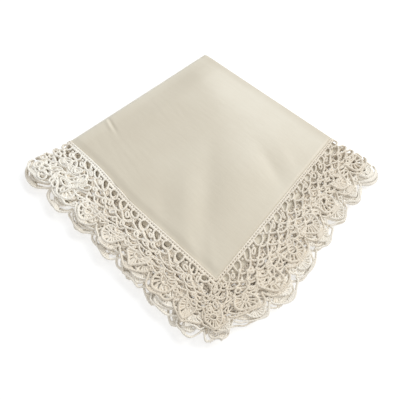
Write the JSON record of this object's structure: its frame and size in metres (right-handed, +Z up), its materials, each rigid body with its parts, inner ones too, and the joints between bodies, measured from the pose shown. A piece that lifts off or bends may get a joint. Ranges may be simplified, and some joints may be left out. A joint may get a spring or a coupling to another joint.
{
  "type": "lace handkerchief",
  "caption": "Square ivory linen handkerchief with a crocheted scalloped edging, folded in quarters and lying flat with its open lace corner outward.",
  "frame": {"origin": "middle of the folded outline, on the surface that the handkerchief lies on", "axes": "+Z up through the four layers; +X towards the softer second fold; +Y towards the sharp first fold; the lace edges face -X and -Y"},
  "size_m": [0.1434, 0.1516, 0.0065],
  "materials": {
    "ivory_linen": "matt, fine plain weave",
    "cotton_lace": "matt mercerised cotton thread, crocheted"
  },
  "bodies": {
    "root": {"linen_ground": "ivory_linen", "crochet_edging": "cotton_lace"}
  },
  "joints": []
}
